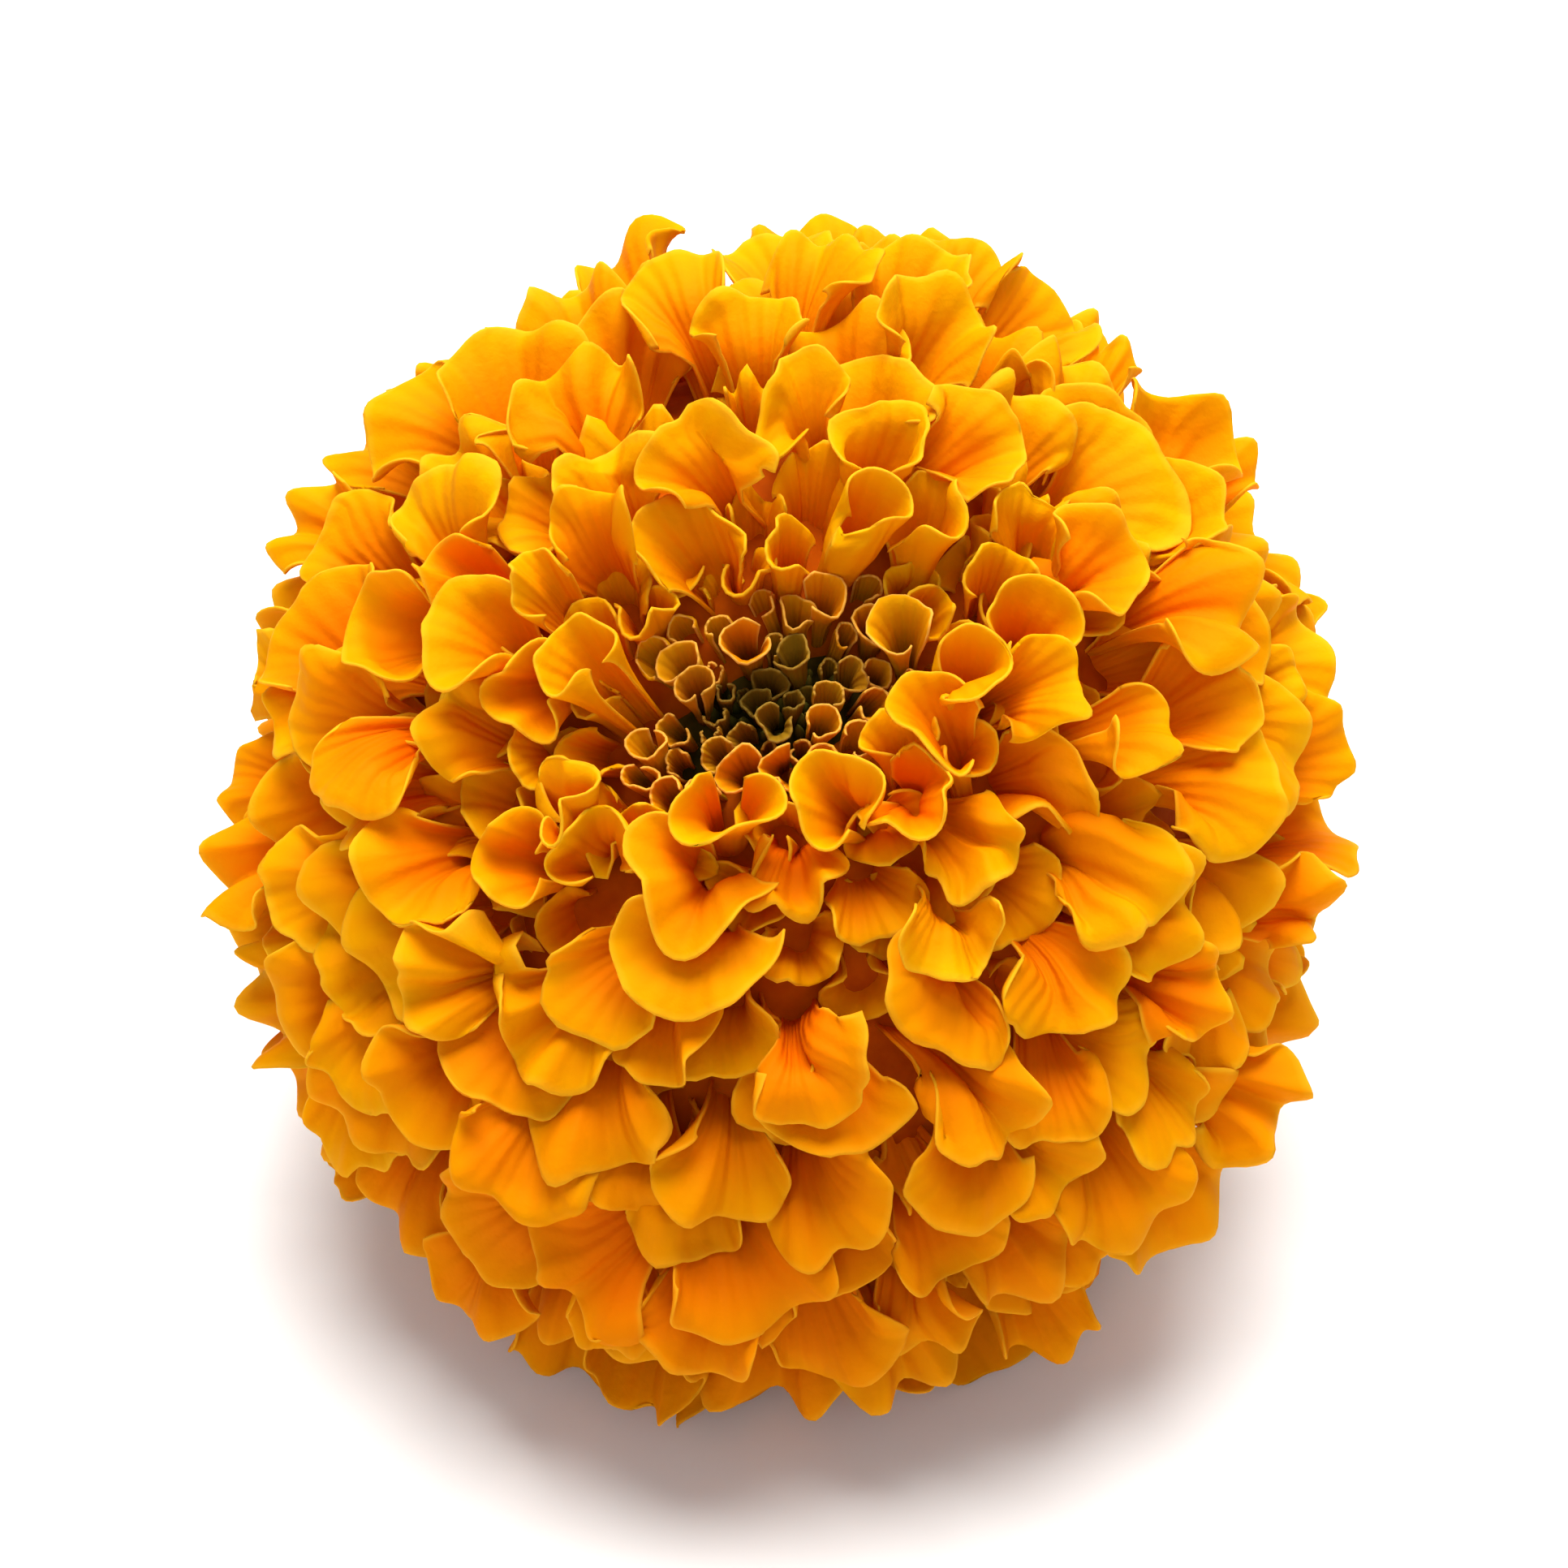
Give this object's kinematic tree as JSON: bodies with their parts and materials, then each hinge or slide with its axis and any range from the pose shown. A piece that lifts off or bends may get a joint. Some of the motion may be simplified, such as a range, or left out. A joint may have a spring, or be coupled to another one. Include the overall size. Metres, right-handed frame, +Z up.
{
  "type": "marigold flower",
  "caption": "Orange double marigold bloom with ruffled petals round a darker eye, on a green calyx and a short bent stem, lying on its side as picked",
  "frame": {"origin": "on the surface the flower lies on, under the middle of its box", "axes": "+Z up; +Y along the stem, towards its cut end; the bloom faces -Y and up, and +X is to its right seen from the front"},
  "size_m": [0.0838, 0.1284, 0.0681],
  "materials": {
    "petal": "soft, slightly translucent petal with paler rims",
    "eye_floret": "matte, brown-orange, greenish in the middle",
    "calyx": "satin green with long dark oil glands",
    "stem": "satin green, finely ribbed, pale at the cut"
  },
  "bodies": {
    "root": {"ray_florets": "petal", "eye_florets": "eye_floret", "calyx": "calyx", "stem": "stem"}
  },
  "joints": []
}
